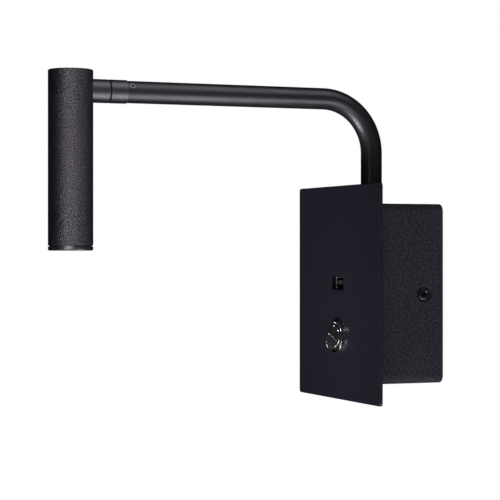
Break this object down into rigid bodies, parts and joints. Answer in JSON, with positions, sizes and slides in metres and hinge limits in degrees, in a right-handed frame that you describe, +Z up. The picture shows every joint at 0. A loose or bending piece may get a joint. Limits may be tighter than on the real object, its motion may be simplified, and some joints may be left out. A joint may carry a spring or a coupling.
{
  "type": "wall reading lamp",
  "caption": "Black bedside wall lamp: a slim spot head swivels on a bent tube that swings on a plated box with a USB port and a rocker switch.",
  "frame": {"origin": "on the wall plane, behind the middle of the box and between the two wall screws", "axes": "+Y into the wall, +Z up, +X to the right seen from the front"},
  "size_m": [0.09, 0.1764, 0.1496],
  "materials": {
    "plate_coat": "smooth satin black powder coat",
    "box_coat": "fine textured black powder coat",
    "arm_coat": "satin black powder coat",
    "head_coat": "fine textured black powder coat",
    "collar_coat": "satin black coat on turned collars",
    "zinc_steel": "bright zinc plate",
    "black_screw": "black oxide",
    "usb_steel": "bright tin plate",
    "turned_brass": "turned",
    "nylon": "natural nylon",
    "black_plastic": "moulded, matt",
    "switch_gloss": "moulded, polished",
    "rubber": "soft black rubber",
    "board_green": "solder mask",
    "board_white": "white solder mask",
    "phosphor": "yellow phosphor",
    "lens_clear": "clear moulded optic",
    "sink_aluminium": "turned",
    "gold_contact": "gold flash",
    "case_white": "moulded",
    "lead_black": "lead insulation",
    "lead_red": "lead insulation",
    "foam": "adhesive foam"
  },
  "bodies": {
    "base": {"front_plate": "plate_coat", "housing": "box_coat", "plate_studs": "zinc_steel", "plate_nuts": "zinc_steel", "wall_bracket": "zinc_steel", "clinch_nuts": "zinc_steel", "side_screws": "black_screw", "cable_grommet": "rubber", "terminal_block": "nylon", "terminal_screws": "zinc_steel", "block_screw": "zinc_steel", "earth_washer": "turned_brass", "earth_screw": "zinc_steel", "arm_bush": "black_plastic", "bush_nut": "turned_brass", "thrust_washer": "nylon", "stop_pin": "zinc_steel", "usb_shell": "usb_steel", "usb_tongue": "black_plastic", "usb_contacts": "gold_contact", "usb_holder": "black_plastic", "usb_board": "board_green", "board_screws": "zinc_steel", "usb_chip": "black_plastic", "usb_coil": "black_plastic", "usb_capacitor": "sink_aluminium", "switch_body": "switch_gloss", "switch_nut": "black_plastic", "switch_pin": "zinc_steel", "switch_terminals": "turned_brass", "driver_case": "case_white", "driver_pad": "foam", "mains_leads": "lead_black", "usb_lead": "lead_red", "led_lead": "lead_black"},
    "arm": {"arm_tube": "arm_coat", "arm_stem": "zinc_steel", "spring_washer": "zinc_steel", "stop_collar": "zinc_steel", "stem_nut": "turned_brass", "swivel_socket": "collar_coat", "socket_grub_screw": "black_screw", "arm_lead": "lead_black"},
    "head": {"head_collar": "collar_coat", "stop_dowel": "zinc_steel", "swivel_pin": "turned_brass", "swivel_washer": "zinc_steel", "swivel_nut": "turned_brass", "head_tube": "head_coat", "head_cap": "head_coat", "lens_ring": "collar_coat", "lens": "lens_clear", "lens_holder": "black_plastic", "led_board": "board_white", "led_chip": "phosphor", "led_screws": "zinc_steel", "heat_sink": "sink_aluminium", "head_lead": "lead_black"},
    "rocker": {"rocker": "switch_gloss"}
  },
  "joints": [
    {"name": "arm_swing", "type": "hinge", "parent": "base", "child": "arm", "pos_m": [0, -0.0192, 0.041], "axis": [0, 0, 1], "range_deg": [-90, 90]},
    {"name": "head_swivel", "type": "hinge", "parent": "arm", "child": "head", "pos_m": [0, -0.1492, 0.0906], "axis": [0, 1, 0], "range_deg": [-165, 165]},
    {"name": "switch_rocker", "type": "hinge", "parent": "base", "child": "rocker", "pos_m": [0, -0.0369, -0.0214], "axis": [0.9511, 0, -0.309], "range_deg": [0, 20]}
  ]
}
